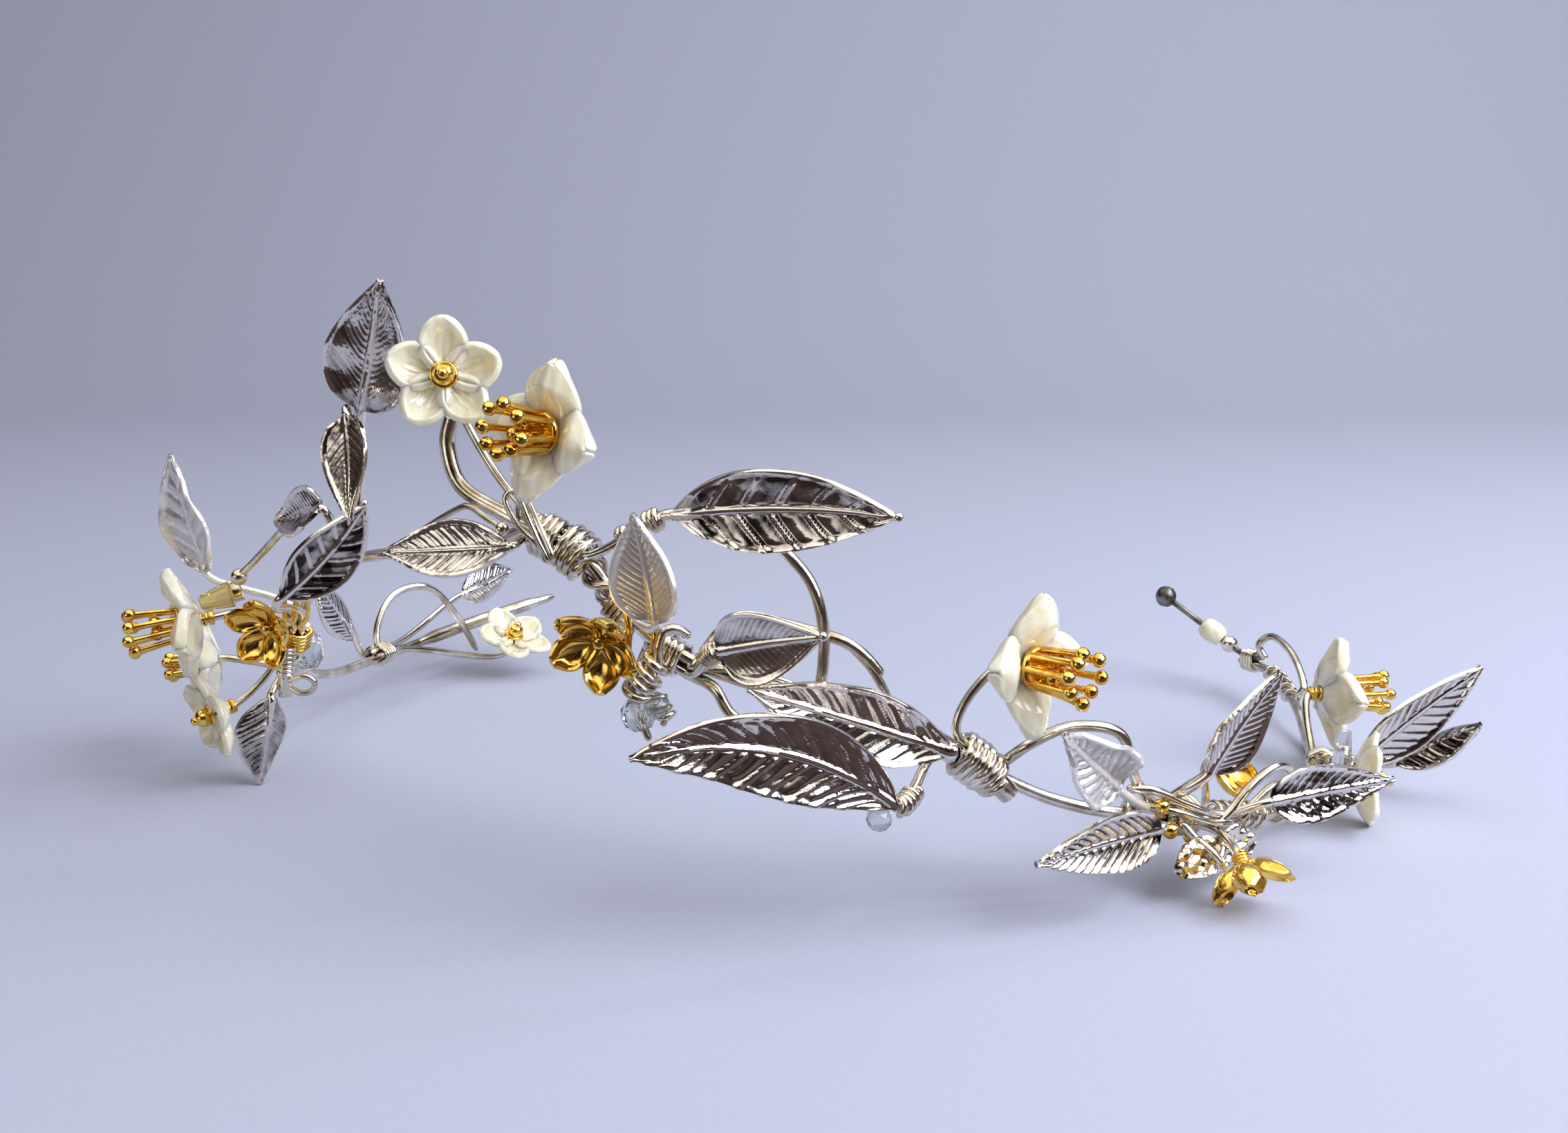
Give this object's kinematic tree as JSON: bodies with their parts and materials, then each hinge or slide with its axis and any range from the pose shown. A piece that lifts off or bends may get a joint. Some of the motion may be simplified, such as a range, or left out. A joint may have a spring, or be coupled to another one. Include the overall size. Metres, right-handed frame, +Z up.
{
  "type": "circlet",
  "caption": "Open wire circlet that lies flat round a head opening, with veined metal leaves, carved shell flowers, ball-tipped stamens and small cup flowers bound on with fine wire.",
  "frame": {"origin": "middle of the head opening, on the surface the circlet rests on", "axes": "+Z up out of the head opening, +X to the wearer's left (the picture's right), -Y towards the front"},
  "size_m": [0.2144, 0.153, 0.0823],
  "materials": {
    "silver_plate": "polished silver plate, darker in the recesses",
    "gold_plate": "polished gold plate",
    "pearl_shell": "carved mother-of-pearl",
    "clear_glass": "clear faceted glass"
  },
  "bodies": {
    "root": {"front_wire": "silver_plate", "left_wire": "silver_plate", "right_wire": "silver_plate", "upper_wire": "silver_plate", "swirl_tendril": "silver_plate", "arc_tendril": "silver_plate", "bead_wire": "silver_plate", "end_rod": "silver_plate", "wrap_left": "gold_plate", "wrap_sprig": "silver_plate", "wrap_peak": "silver_plate", "wrap_middle": "silver_plate", "wrap_dip": "silver_plate", "wrap_front": "silver_plate", "wrap_right": "silver_plate", "wrap_side": "silver_plate", "wrap_back": "silver_plate", "wrap_end": "silver_plate", "leaf_left_tall": "silver_plate", "leaf_left_front": "silver_plate", "leaf_left_low": "silver_plate", "leaf_sprig_tall": "silver_plate", "leaf_sprig_folded": "silver_plate", "leaf_sprig_small": "silver_plate", "leaf_peak_long": "silver_plate", "leaf_centre_drop": "silver_plate", "leaf_front_top": "silver_plate", "leaf_front_middle": "silver_plate", "leaf_front_wide": "silver_plate", "leaf_front_long": "silver_plate", "leaf_right_bud": "silver_plate", "leaf_right_up": "silver_plate", "leaf_right_out": "silver_plate", "leaf_right_low": "silver_plate", "leaf_side_long": "silver_plate", "leaf_side_dark": "silver_plate", "leaf_back_near": "silver_plate", "leaf_back_far": "silver_plate", "petals_peak_carved": "pearl_shell", "petals_peak_star": "pearl_shell", "petals_front_star": "pearl_shell", "petals_side_star": "pearl_shell", "petals_left_star": "pearl_shell", "petals_left_carved": "pearl_shell", "petals_back_carved": "pearl_shell", "petals_side_carved": "pearl_shell", "heart_peak_carved": "gold_plate", "stamens_peak_star": "gold_plate", "stamens_front_star": "gold_plate", "stamens_side_star": "gold_plate", "stamens_left_star": "gold_plate", "heart_left_carved": "gold_plate", "heart_back_carved": "gold_plate", "heart_side_carved": "gold_plate", "cup_left": "gold_plate", "cup_centre": "gold_plate", "cup_right": "gold_plate", "cup_side": "gold_plate", "clear_bead": "clear_glass", "barrel_bead": "pearl_shell"}
  },
  "joints": []
}
